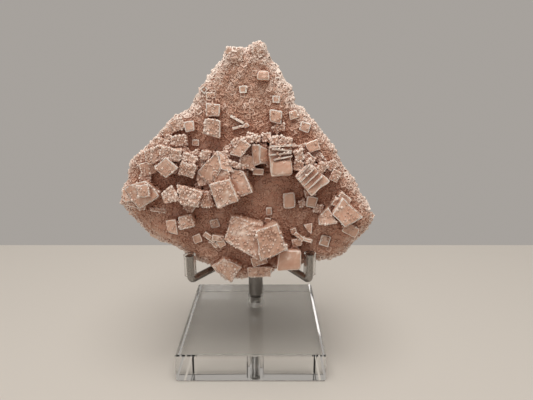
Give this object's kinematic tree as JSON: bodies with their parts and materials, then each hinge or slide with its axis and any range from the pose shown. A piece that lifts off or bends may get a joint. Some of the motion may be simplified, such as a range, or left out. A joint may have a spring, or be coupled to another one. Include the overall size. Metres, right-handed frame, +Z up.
{
  "type": "halite crystal specimen on a stand",
  "caption": "Upright plate of pale pink halite covered in cubic and hollow-faced crystals, held by a wire prong stand on a square clear acrylic base.",
  "frame": {"origin": "centre of the square base's underside, which rests on the table", "axes": "+Z up; +X to the right of a viewer who faces the crystals; +Y away from that viewer, towards the post"},
  "size_m": [0.0855, 0.05, 0.1091],
  "materials": {
    "halite": "satin",
    "acrylic": "polished",
    "steel": "polished",
    "vinyl": "gloss"
  },
  "bodies": {
    "root": {"halite": "halite", "base": "acrylic", "bushing": "acrylic", "post": "steel", "prongs": "steel", "left_sleeve": "vinyl", "right_sleeve": "vinyl", "rear_sleeve": "vinyl"}
  },
  "joints": []
}
